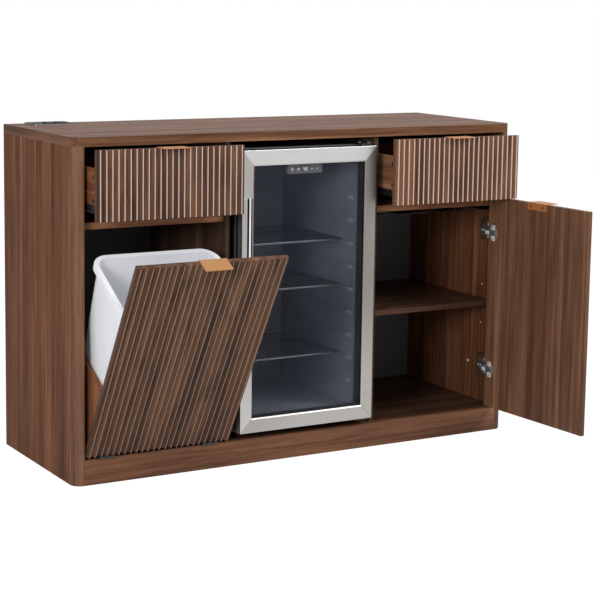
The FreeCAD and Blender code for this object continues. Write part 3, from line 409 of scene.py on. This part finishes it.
def addBar(form, low, high, ease=0.0):
    middle = [(a + b) / 2 for a, b in zip(low, high)]
    span = [b - a for a, b in zip(low, high)]
    place = Matrix.Translation(middle) @ Matrix.Diagonal((*span, 1))
    made = bmesh.ops.create_cube(form, size=1.0, matrix=place)
    if ease:
        edges = list({edge for vert in made["verts"] for edge in vert.link_edges})
        bmesh.ops.bevel(form, geom=edges, offset=ease, segments=2, affect="EDGES", profile=0.5)


def addRod(form, start, end, radius, sides=20, tip=None):
    start, end = Vector(start), Vector(end)
    along = end - start
    place = Matrix.Translation((start + end) / 2) @ along.to_track_quat("Z", "Y").to_matrix().to_4x4()
    bmesh.ops.create_cone(form, cap_ends=True, segments=sides, radius1=radius,
                          radius2=radius if tip is None else tip, depth=along.length, matrix=place)


def finishPiece(name, form, finish, body, home="cabinet"):
    bmesh.ops.transform(form, matrix=homes[home], verts=form.verts)
    bmesh.ops.recalc_face_normals(form, faces=form.faces)
    mesh = bpy.data.meshes.new(name)
    form.to_mesh(mesh)
    form.free()
    mesh.materials.append(finishes[finish])
    piece = bpy.data.objects.new(name, mesh)
    scene.collection.objects.link(piece)
    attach(piece, body)
    return piece


# domed screw heads with a dark cross in the crown, painted shade standing for the sunk cross
def addScrews(name, spots, facing, radius, finish, body, home="cabinet"):
    way = Vector(facing)
    side = way.orthogonal().normalized()
    other = way.cross(side)
    heads, crosses = bmesh.new(), bmesh.new()
    for spot in spots:
        spot = Vector(spot)
        rim, crown = spot + way * radius * 0.22, spot + way * radius * 0.42
        addRod(heads, spot, rim, radius)
        addRod(heads, rim, crown, radius, tip=radius * 0.6)
        for arm in (side, other):
            addRod(crosses, crown - arm * radius * 0.45, crown + arm * radius * 0.45, radius * 0.12, 6)
    finishPiece(name, heads, finish, body, home)
    finishPiece(name + "Crosses", crosses, "holeShade", body, home)


pullLook = {"half": 25.0, "drop": 10.0, "radius": 3.2}
for name, body, home, middle, skin, top in (
        ("leftPullScrews", "left_drawer", "cabinet", -455.0, -307.0, 902.0),
        ("rightPullScrews", "right_drawer", "cabinet", 455.0, -316.0, 902.0),
        ("tiltPullScrews", "tilt_bin", "leaned", -455.0, 23.0, 641.5),
        ("doorPullScrews", "side_door", "swung", -202.0, 10.0, 713.0)):
    spots = [(middle + hand * pullLook["half"], skin, top - pullLook["drop"]) for hand in (-1, 1)]
    addScrews(name, spots, (0, 1, 0), pullLook["radius"], "screwDark", body, home)

# knock-down fittings: cam bores in the boxes, drawn as thin dark discs that are painted shade for the holes,
# and pale caps and pin plugs in the right bay
boreLook = {"boxHeights": (829.0, 767.0), "boxBack": 29.0, "boxRadius": 6.5, "cheekSpot": (38.0, 151.0),
            "cheekRadius": 5.0, "capSpot": (687.0, -90.0, 182.0), "capRadius": 4.5,
            "plugRadius": 2.5, "plugDepths": (-150.0, 170.0), "plugHeights": (312.5, 432.5), "plugProud": 0.6}


def addSpots(name, spots, facing, radius, finish, body, home="cabinet", proud=0.2):
    form = bmesh.new()
    for spot in spots:
        addRod(form, spot, Vector(spot) + Vector(facing) * proud, radius, 24)
    finishPiece(name, form, finish, body, home)


for word, body, faces, start in (("left", "left_drawer", (-661.0, -259.0), -309.0),
                                 ("right", "right_drawer", (259.0, 661.0), -318.0)):
    for hand, face in zip((-1, 1), faces):
        spots = [(face, start + boreLook["boxBack"], z) for z in boreLook["boxHeights"]]
        addSpots("%sBoxBores%s" % (word, "A" if hand < 0 else "B"), spots, (hand, 0, 0),
                 boreLook["boxRadius"], "holeShade", body)
for hand, face in ((-1, -660.0), (1, -250.0)):
    addSpots("cheekBore%s" % ("A" if hand < 0 else "B"), [(face, *boreLook["cheekSpot"])], (hand, 0, 0),
             boreLook["cheekRadius"], "holeShade", "tilt_bin", "leaned")
addSpots("camCap", [boreLook["capSpot"]], (-1, 0, 0), boreLook["capRadius"], "paleCap", "cabinet")
for hand, face in ((-1, 687.0), (1, 246.0)):
    spots = [(face, y, z) for y in boreLook["plugDepths"] for z in boreLook["plugHeights"]]
    addSpots("pinPlugs%s" % ("A" if hand < 0 else "B"), spots, (hand, 0, 0), boreLook["plugRadius"],
             "paleCap", "cabinet", proud=boreLook["plugProud"])
print("screws and bores set")

# cup hinges: ears on the cup, winged mounting plate, arm cover, neck and their screws, with the ears, neck
# and plate and arm screws in near-white as painted highlight on the nickel;
# each box has its spans in x, in y and in z from the hinge's middle, and its eased edge
hingeHeights = (188.0, 604.0)
hingeBoxes = {
    "hingeFlanges": ("hingeHighlight", "side_door", "swung", [
        ((-17.5, -2.5), (8.6, 9.9), (-23.0, -9.0), 0.5), ((-17.5, -2.5), (8.6, 9.9), (9.0, 23.0), 0.5)]),
    "hingeWings": ("gunmetal", "cabinet", "cabinet", [
        ((670.8, 672.2), (-205.0, -187.0), (-24.0, 24.0), 0.5)]),
    "hingeCovers": ("gunmetal", "cabinet", "cabinet", [
        ((664.0, 672.2), (-222.0, -168.0), (-7.0, 7.0), 1.8)]),
    "hingeNecks": ("hingeHighlight", "cabinet", "cabinet", [
        ((640.6, 642.2), (-239.0, -222.5), (-5.5, 5.5), 0.5),
        ((641.0, 668.0), (-224.6, -222.4), (-5.5, 5.5), 0.5)]),
}
# screws of one kind: the way they face, their radius and their spots
hingeScrews = {
    "wingScrews": ("hingeHighlight", "cabinet", "cabinet", (-1, 0, 0), 3.2, [
        (670.8, -196.0, -19.0), (670.8, -196.0, 19.0)]),
    "armScrews": ("hingeHighlight", "cabinet", "cabinet", (-1, 0, 0), 2.8, [
        (664.0, -174.0, 0.0), (664.0, -185.0, 0.0), (664.0, -204.0, 0.0)]),
    "cupScrews": ("hingeSilver", "side_door", "swung", (0, 1, 0), 2.8, [
        (-10.0, 9.9, -18.5), (-10.0, 9.9, 18.5)]),
}
for name, (finish, body, home, boxes) in hingeBoxes.items():
    form = bmesh.new()
    for level in hingeHeights:
        for (x0, x1), (y0, y1), (z0, z1), ease in boxes:
            addBar(form, (x0, y0, level + z0), (x1, y1, level + z1), ease)
    finishPiece(name, form, finish, body, home)
for name, (finish, body, home, facing, radius, spots) in hingeScrews.items():
    placed = [(x, y, level + z) for level in hingeHeights for x, y, z in spots]
    addScrews(name, placed, facing, radius, finish, body, home)
print("hinges detailed")

# cooler: round-wire shelves with a flat front trim, ledge ends lighter than the liner as painted highlight,
# bolts on the hinge plates
shelfLook = {
    "levels": (268.0, 467.8, 601.0), "half": 172.5, "front": -159.0, "back": 164.0, "middle": 2.0,
    "frameRadius": 2.0, "wireRadius": 1.4, "wires": 17, "wireRise": 1.2, "cross": (-60.0, 55.0),
    "crossDrop": 1.6, "trimOver": 1.0, "trimDepths": (-3.2, -1.8), "trimHeights": (-0.5, 4.5),
    "trimEase": 0.5,
}
wires, trims = bmesh.new(), bmesh.new()
half, front, back = shelfLook["half"], shelfLook["front"], shelfLook["back"]
for low in shelfLook["levels"]:
    mid = low + shelfLook["middle"]
    for x in (-half, half):
        addRod(wires, (x, front, mid), (x, back, mid), shelfLook["frameRadius"], 12)
    for y in (front, back, *shelfLook["cross"]):
        level = mid if y in (front, back) else mid - shelfLook["crossDrop"]
        addRod(wires, (-half, y, level), (half, y, level), shelfLook["frameRadius"], 12)
    level = mid + shelfLook["wireRise"]
    for k in range(shelfLook["wires"]):
        x = -half + 2 * half * (k + 1) / (shelfLook["wires"] + 1)
        addRod(wires, (x, front, level), (x, back, level), shelfLook["wireRadius"], 10)
    near, far = [front + depth for depth in shelfLook["trimDepths"]]
    base, crown = [low + height for height in shelfLook["trimHeights"]]
    reach = half + shelfLook["trimOver"]
    addBar(trims, (-reach, near, base), (reach, far, crown), shelfLook["trimEase"])
shelfWires = finishPiece("coolerWires", wires, "shelfWire", "cabinet")
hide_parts("fridge_shelves")
finishPiece("coolerShelfTrims", trims, "shelfTrim", "cabinet")

ledgeLook = {"count": 9, "first": 201.4, "pitch": 66.6, "spans": ((-176.0, -168.5), (168.5, 176.0)),
             "depths": (-218.0, -196.0), "heights": (-10.0, -0.2), "ease": 0.8}
ledgeEnds = bmesh.new()
for k in range(ledgeLook["count"]):
    base, crown = [ledgeLook["first"] + ledgeLook["pitch"] * k + height for height in ledgeLook["heights"]]
    for low, high in ledgeLook["spans"]:
        addBar(ledgeEnds, (low, ledgeLook["depths"][0], base), (high, ledgeLook["depths"][1], crown),
               ledgeLook["ease"])
finishPiece("coolerLedgeEnds", ledgeEnds, "ledgeHighlight", "cabinet")

boltLook = {"spots": ((204.0, -244.0, 5.0), (186.0, -226.0, 4.0)), "levels": ((887.0, 891.0), (82.0, 85.0))}
bolts = bmesh.new()
for x, y, radius in boltLook["spots"]:
    for base, crown in boltLook["levels"]:
        addRod(bolts, (x, y, base), (x, y, crown), radius, 6)
finishPiece("coolerHingeBolts", bolts, "gunmetal", "cabinet")

# cooler door: mitred trims with a chamfer round the glass, and a finger grip in the left one, its grooves
# covered in dark sheets as painted shade and its lip lightened as painted highlight
trimLook = {"half": 216.0, "low": 92.0, "high": 881.0, "seeHalf": 179.0, "seeLow": 133.0, "seeHigh": 838.0,
            "face": -269.0, "rear": -263.0, "chamfer": 4.0, "sink": 1.6, "gripLow": 440.0, "gripHigh": 750.0,
            "stripEnd": -199.5, "lip": (-193.7, -188.0), "lipEase": 0.5, "inside": -184.3, "shadeSheet": 0.8,
            "shadeSheetSet": 0.4, "ease": 0.6, "easeAngle": 40.0,
            "skinDepths": ((-263.0, -246.2), (-233.8, -226.4)), "skin": 0.4}


def addTrim(form, ends):
    face, rear = trimLook["face"], trimLook["rear"]
    rings = []
    for outer, flat, inner in ends:
        profile = [(outer, face), (flat, face), (inner, face + trimLook["sink"]),
                   (inner, rear), (outer, rear)]
        rings.append([form.verts.new((spot[0], depth, spot[1])) for spot, depth in profile])
    start, end = rings
    form.faces.new(start)
    form.faces.new(end[::-1])
    for i in range(len(start)):
        j = (i + 1) % len(start)
        form.faces.new((start[i], end[i], end[j], start[j]))


def mitre(side, level):
    outer = (side * trimLook["half"], trimLook["high"] if level > 0 else trimLook["low"])
    inner = (side * trimLook["seeHalf"], trimLook["seeHigh"] if level > 0 else trimLook["seeLow"])
    flat = (inner[0] + side * trimLook["chamfer"], inner[1] + level * trimLook["chamfer"])
    return outer, flat, inner


def square(z, outer=-trimLook["half"]):
    return (outer, z), (-trimLook["seeHalf"] - trimLook["chamfer"], z), (-trimLook["seeHalf"], z)


gripLow, gripHigh, gripInside = trimLook["gripLow"], trimLook["gripHigh"], trimLook["inside"]
trimEnds = {
    "Right": [(mitre(1, -1), mitre(1, 1))], "Top": [(mitre(-1, 1), mitre(1, 1))],
    "Bottom": [(mitre(-1, -1), mitre(1, -1))],
    "Left": [(mitre(-1, 1), square(gripHigh)), (square(gripLow), mitre(-1, -1)),
             (square(gripHigh, gripInside), square(gripLow, gripInside))],
}
# each trim wears its own lit or shaded copy of the steel, as painted light and shade
trimFinish = {"Left": "steelLeft", "Right": "steelUp", "Top": "steelAcross", "Bottom": "steelLow"}
face, rear = trimLook["face"], trimLook["rear"]
for side, runs in trimEnds.items():
    form = bmesh.new()
    for ends in runs:
        addTrim(form, ends)
    if side == "Left":
        addBar(form, (-trimLook["half"], face, gripLow), (trimLook["stripEnd"], rear, gripHigh))
    piece = finishPiece("coolerTrim" + side, form, trimFinish[side], "fridge_door")
    easeEdges(piece, trimLook["ease"], 2, trimLook["easeAngle"])
    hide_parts("fridge_trim_" + side.lower())
lip, shadeSheet, skins = bmesh.new(), bmesh.new(), bmesh.new()
lipLow, lipHigh = trimLook["lip"]
# the grip lip wears a near-white steel as painted highlight
addBar(lip, (lipLow, face, gripLow), (lipHigh, rear, gripHigh), trimLook["lipEase"])
finishPiece("coolerGripLip", lip, "steelLipHighlight", "fridge_door")
# dark sheets over the floor and right wall of each groove, as painted shade in the grip's grooves
for low, high in ((trimLook["stripEnd"], lipLow), (lipHigh, gripInside)):
    wall = high - trimLook["shadeSheet"]
    addBar(shadeSheet, (low, rear - trimLook["shadeSheet"], gripLow), (wall, rear, gripHigh))
    addBar(shadeSheet, (wall, face + trimLook["shadeSheetSet"], gripLow), (high, rear, gripHigh))
finishPiece("coolerGripShade", shadeSheet, "blackPlastic", "fridge_door")
for front, back in trimLook["skinDepths"]:
    for side in (-1, 1):
        edge = sorted((side * trimLook["half"], side * (trimLook["half"] + trimLook["skin"])))
        addBar(skins, (edge[0], front, trimLook["low"]), (edge[1], back, trimLook["high"]))
finishPiece("coolerDoorSkins", skins, "steelSide", "fridge_door")

# control strip: lamp, frost star, two figures and two arrows, all in thin strokes
iconLook = {
    "face": -213.5, "level": 818.0, "stroke": 0.7, "spots": (-27.7, -7.7, 14.5, 36.7, 53.4),
    "lampRadius": 2.6, "lampRise": 0.8, "lampSides": 10, "baseHalf": 1.2, "baseDrop": 3.2,
    "frost": 3.4, "arrowHalf": 3.2, "arrowRise": 1.6, "figureHalf": 2.0, "figureRise": 4.0, "figureStep": 3.4,
}
icons, figures = bmesh.new(), bmesh.new()


def addStroke(form, ax, az, bx, bz):
    face, level = iconLook["face"], iconLook["level"]
    addRod(form, (ax, face, level + az), (bx, face, level + bz), iconLook["stroke"], 6)


def onRing(radius, degrees):
    return radius * math.cos(math.radians(degrees)), radius * math.sin(math.radians(degrees))


lampX, frostX, figureX, upX, downX = iconLook["spots"]
sides = iconLook["lampSides"]
bulb = [onRing(iconLook["lampRadius"], 360 / sides * k) for k in range(sides + 1)]
for (ax, az), (bx, bz) in zip(bulb, bulb[1:]):
    addStroke(icons, lampX + ax, iconLook["lampRise"] + az, lampX + bx, iconLook["lampRise"] + bz)
addStroke(icons, lampX - iconLook["baseHalf"], -iconLook["baseDrop"],
          lampX + iconLook["baseHalf"], -iconLook["baseDrop"])
for degrees in (30, 90, 150):
    rayX, rayZ = onRing(iconLook["frost"], degrees)
    addStroke(icons, frostX - rayX, -rayZ, frostX + rayX, rayZ)
for x, sign in ((upX, 1), (downX, -1)):
    rise = iconLook["arrowRise"] * sign
    addStroke(icons, x - iconLook["arrowHalf"], -rise, x, rise)
    addStroke(icons, x, rise, x + iconLook["arrowHalf"], -rise)
# the seven bars of a figure, each from one end to the other in halves of its width and height
segments = {"a": (-1, 1, 1, 1), "b": (1, 1, 1, 0), "c": (1, 0, 1, -1), "d": (-1, -1, 1, -1),
            "e": (-1, 0, -1, -1), "f": (-1, 1, -1, 0), "g": (-1, 0, 1, 0)}
for side, lit in ((-1, "bcfg"), (1, "abcdef")):
    x = figureX + side * iconLook["figureStep"]
    wide, rise = iconLook["figureHalf"], iconLook["figureRise"]
    for key in lit:
        ax, az, bx, bz = segments[key]
        addStroke(figures, x + ax * wide, az * rise, x + bx * wide, bz * rise)
finishPiece("stripIcons", icons, "iconGrey", "cabinet")
finishPiece("stripFigures", figures, "digitBlue", "cabinet")
print("cooler detailed")

# outlet: black face inside the rim, and generic slots in the two blocks, drawn as dark bars and a dark disc
# in each block as painted shade for the openings
outletLook = {
    "left": -648.0, "right": -525.0, "front": 152.0, "back": 240.0, "rim": 1.2, "wide": 6.0,
    "faceHeights": (933.9, 934.3), "well": ((-641.5, 158.5, 890.0), (-531.5, 233.5, 932.0)),
    "blocks": ((-609.0, -583.0), (-575.5, -552.0)), "blockDepths": (165.0, 199.0),
    "blockHeights": (928.0, 938.0), "blockEase": 0.8, "slotShift": 4.0, "slotHalf": 0.8,
    "slotDepths": (181.0, 189.0), "slotHeights": (937.7, 938.1), "pinDepth": 174.0, "pinRadius": 2.2,
}
cover, slits, blocks = bmesh.new(), bmesh.new(), bmesh.new()
x0, x1 = outletLook["left"] + outletLook["rim"], outletLook["right"] - outletLook["rim"]
y0, y1 = outletLook["front"] + outletLook["rim"], outletLook["back"] - outletLook["rim"]
edge = outletLook["wide"] - outletLook["rim"]
under, over = outletLook["faceHeights"]
for low, high in (((x0, y0), (x1, y0 + edge)), ((x0, y1 - edge), (x1, y1)),
                  ((x0, y0 + edge), (x0 + edge, y1 - edge)), ((x1 - edge, y0 + edge), (x1, y1 - edge))):
    addBar(cover, (*low, under), (*high, over))
addBar(blocks, *outletLook["well"])
base, crown = outletLook["blockHeights"]
sunk, proud = outletLook["slotHeights"]
for left, right in outletLook["blocks"]:
    near, far = outletLook["blockDepths"]
    addBar(blocks, (left, near, base), (right, far, crown), outletLook["blockEase"])
    middle = (left + right) / 2
    near, far = outletLook["slotDepths"]
    for side in (-1, 1):
        slotX, slotHalf = middle + side * outletLook["slotShift"], outletLook["slotHalf"]
        addBar(slits, (slotX - slotHalf, near, sunk), (slotX + slotHalf, far, proud))
    pin = outletLook["pinDepth"]
    addRod(slits, (middle, pin, sunk), (middle, pin, proud), outletLook["pinRadius"], 16)
outletBody = finishPiece("outletBody", blocks, "outletGrey", "cabinet")
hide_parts("power_socket_body")
finishPiece("outletFace", cover, "outletBlack", "cabinet")
finishPiece("outletSlots", slits, "holeShade", "cabinet")
print("outlet detailed")

# camera solved from the cabinet's corners in the photograph, with part of the lens shift it asks for
cameraLook = {
    "place": (-2.45098, -4.36177, 1.30618), "yaw": 0.51405, "pitch": -0.13869, "roll": 0.01229,
    "focal": 1725.187, "centreX": 266.37, "centreY": 233.674, "frame": 600.0, "sensor": 36.0, "reach": 200.0,
}


def placeCamera(look):
    forward = Vector((math.sin(look["yaw"]) * math.cos(look["pitch"]),
                      math.cos(look["yaw"]) * math.cos(look["pitch"]), math.sin(look["pitch"])))
    level = Vector((math.cos(look["yaw"]), -math.sin(look["yaw"]), 0))
    above = level.cross(forward)
    right = level * math.cos(look["roll"]) + above * math.sin(look["roll"])
    up = above * math.cos(look["roll"]) - level * math.sin(look["roll"])
    lens = bpy.data.cameras.new("camera")
    lens.sensor_width = look["sensor"]
    lens.lens = look["focal"] / look["frame"] * look["sensor"]
    lens.shift_x = (look["frame"] / 2 - look["centreX"]) / look["frame"]
    lens.shift_y = (look["centreY"] - look["frame"] / 2) / look["frame"]
    lens.clip_end = look["reach"]
    holder = bpy.data.objects.new("camera", lens)
    scene.collection.objects.link(holder)
    holder.matrix_world = Matrix((
        (right.x, up.x, -forward.x, look["place"][0]), (right.y, up.y, -forward.y, look["place"][1]),
        (right.z, up.z, -forward.z, look["place"][2]), (0, 0, 0, 1)))
    scene.camera = holder


placeCamera(cameraLook)

# white studio floor, soft lamps and an even sky
studioLook = {
    "floorHalf": 60.0, "floorShadow": 0.12, "floorGlow": 1.09, "sky": 0.42,
    "lamps": [
        {"name": "keyLamp", "at": (-4.4, -3.6, 1.9), "aim": (0, -0.2, 0.5), "size": 1.5, "watts": 172},
        {"name": "fillLamp", "at": (2.9, -3.6, 3.3), "aim": (0.2, -0.2, 0.5), "size": 1.6, "watts": 165},
        {"name": "overLamp", "at": (0.0, -0.6, 3.6), "aim": (0, 0, 0.6), "size": 2.6, "watts": 32},
    ],
}


def rayOfSight(tree):
    rays = addNode(tree, "ShaderNodeLightPath")
    first = addNode(tree, "ShaderNodeMath", {"operation": "MAXIMUM"})
    second = addNode(tree, "ShaderNodeMath", {"operation": "MAXIMUM"})
    tree.links.new(rays.outputs["Is Camera Ray"], first.inputs[0])
    tree.links.new(rays.outputs["Is Glossy Ray"], first.inputs[1])
    tree.links.new(first.outputs[0], second.inputs[0])
    tree.links.new(rays.outputs["Is Transmission Ray"], second.inputs[1])
    return second.outputs[0]


def buildStudio(look):
    mesh = bpy.data.meshes.new("studioFloor")
    half = look["floorHalf"]
    corners = [(-half, -half, 0), (half, -half, 0), (half, half, 0), (-half, half, 0)]
    mesh.from_pydata(corners, [], [(0, 1, 2, 3)])
    floor = bpy.data.objects.new("studioFloor", mesh)
    scene.collection.objects.link(floor)
    finish = bpy.data.materials.new("studioWhite")
    finish.use_nodes = True
    tree = finish.node_tree
    tree.nodes.clear()
    matt = addNode(tree, "ShaderNodeBsdfDiffuse", Color=(0.8, 0.8, 0.8, 1))
    glow = addNode(tree, "ShaderNodeEmission", Color=white, Strength=look["floorGlow"])
    part = addNode(tree, "ShaderNodeMixShader", Fac=look["floorShadow"])
    tree.links.new(glow.outputs[0], part.inputs[1])
    tree.links.new(matt.outputs[0], part.inputs[2])
    whole = addNode(tree, "ShaderNodeMixShader")
    tree.links.new(rayOfSight(tree), whole.inputs["Fac"])
    tree.links.new(matt.outputs[0], whole.inputs[1])
    tree.links.new(part.outputs[0], whole.inputs[2])
    out = addNode(tree, "ShaderNodeOutputMaterial")
    tree.links.new(whole.outputs[0], out.inputs["Surface"])
    mesh.materials.append(finish)
    world = bpy.data.worlds.new("studioSky")
    scene.world = world
    world.use_nodes = True
    tree = world.node_tree
    tree.nodes.clear()
    soft = addNode(tree, "ShaderNodeBackground", Color=white, Strength=look["sky"])
    plain = addNode(tree, "ShaderNodeBackground", Color=white, Strength=1.0)
    whole = addNode(tree, "ShaderNodeMixShader")
    tree.links.new(rayOfSight(tree), whole.inputs["Fac"])
    tree.links.new(soft.outputs[0], whole.inputs[1])
    tree.links.new(plain.outputs[0], whole.inputs[2])
    out = addNode(tree, "ShaderNodeOutputWorld")
    tree.links.new(whole.outputs[0], out.inputs["Surface"])
    for lampLook in look["lamps"]:
        lamp = bpy.data.lights.new(lampLook["name"], "AREA")
        lamp.size = lampLook["size"]
        lamp.energy = lampLook["watts"]
        holder = bpy.data.objects.new(lampLook["name"], lamp)
        scene.collection.objects.link(holder)
        holder.location = lampLook["at"]
        aim = Vector(lampLook["aim"]) - Vector(lampLook["at"])
        holder.rotation_euler = aim.to_track_quat("-Z", "Y").to_euler()


buildStudio(studioLook)
print("camera and studio set")
